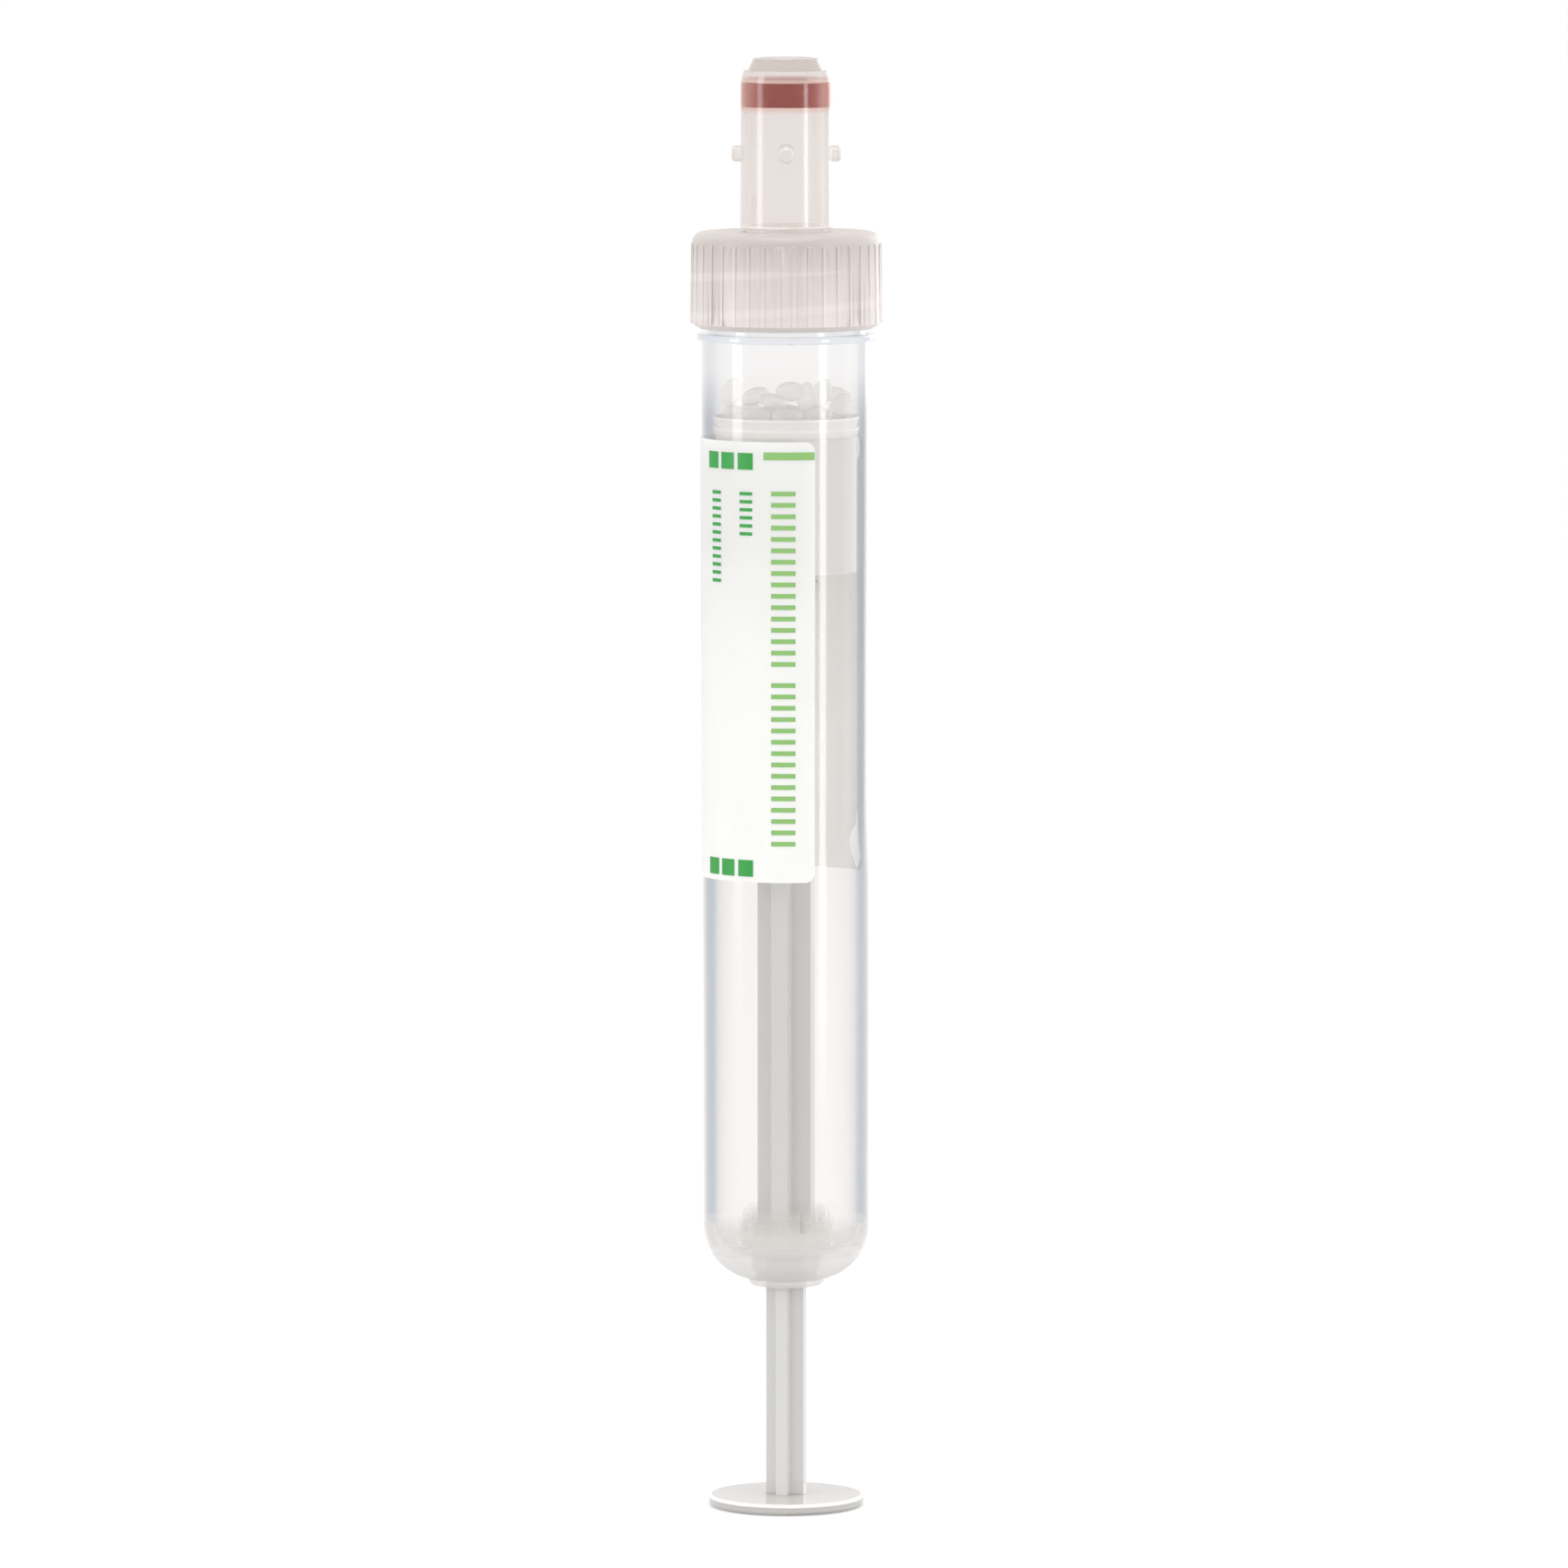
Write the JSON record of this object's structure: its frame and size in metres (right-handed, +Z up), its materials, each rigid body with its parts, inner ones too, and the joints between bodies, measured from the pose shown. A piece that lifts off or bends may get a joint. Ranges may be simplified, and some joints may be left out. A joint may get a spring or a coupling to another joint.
{
  "type": "blood collection tube",
  "caption": "Clear plastic blood collection tube with domed base, ribbed screw cap, bayonet needle adapter with rubber membrane, and a piston on a cross-shaped rod with a thumb plate.",
  "frame": {"origin": "centre of the thumb plate's underside, on the tube's axis", "axes": "+Z up along the tube's axis from the thumb plate to the needle adapter; -Y is the front, which the label's free edge lies close to"},
  "size_m": [0.0172, 0.0172, 0.1312],
  "materials": {
    "clear_tube": "clear moulded polypropylene, glossy",
    "label_paper": "white printed film label, matt",
    "cap_plastic": "translucent natural polyethylene, satin",
    "adapter_plastic": "translucent natural polypropylene, satin gloss",
    "membrane_rubber": "red-brown rubber, matt",
    "piston_plastic": "frosted white polyethylene",
    "rod_plastic": "white moulded polystyrene, satin",
    "granule_plastic": "translucent white polystyrene"
  },
  "bodies": {
    "plunger": {"piston_rod": "rod_plastic", "piston": "piston_plastic", "granule_01": "granule_plastic", "granule_02": "granule_plastic", "granule_03": "granule_plastic", "granule_04": "granule_plastic", "granule_05": "granule_plastic", "granule_06": "granule_plastic", "granule_07": "granule_plastic", "granule_08": "granule_plastic", "granule_09": "granule_plastic", "granule_10": "granule_plastic", "granule_11": "granule_plastic", "granule_12": "granule_plastic", "granule_13": "granule_plastic", "granule_14": "granule_plastic", "granule_15": "granule_plastic", "granule_16": "granule_plastic", "granule_17": "granule_plastic", "granule_18": "granule_plastic", "granule_19": "granule_plastic", "granule_20": "granule_plastic", "granule_21": "granule_plastic"},
    "barrel": {"tube": "clear_tube", "label": "label_paper"},
    "seal": {"membrane": "membrane_rubber"},
    "closure": {"screw_cap": "cap_plastic", "needle_adapter": "adapter_plastic"}
  },
  "joints": [
    {"name": "tube_draw", "type": "slide", "parent": "plunger", "child": "barrel", "axis": [0, 0, 1], "range_m": [-0.005, 0.0575]},
    {"name": "closure_lift", "type": "slide", "parent": "barrel", "child": "seal", "axis": [0, 0, 1], "range_m": [0, 0.0105]},
    {"name": "closure_turn", "type": "hinge", "parent": "seal", "child": "closure", "pos_m": [0, 0, 0.111], "axis": [0, 0, 1], "range_deg": [0, 1080]}
  ],
  "couplings": [
    {"joint": "closure_turn", "follows": "closure_lift", "rad_per_m": 1795.2}
  ]
}
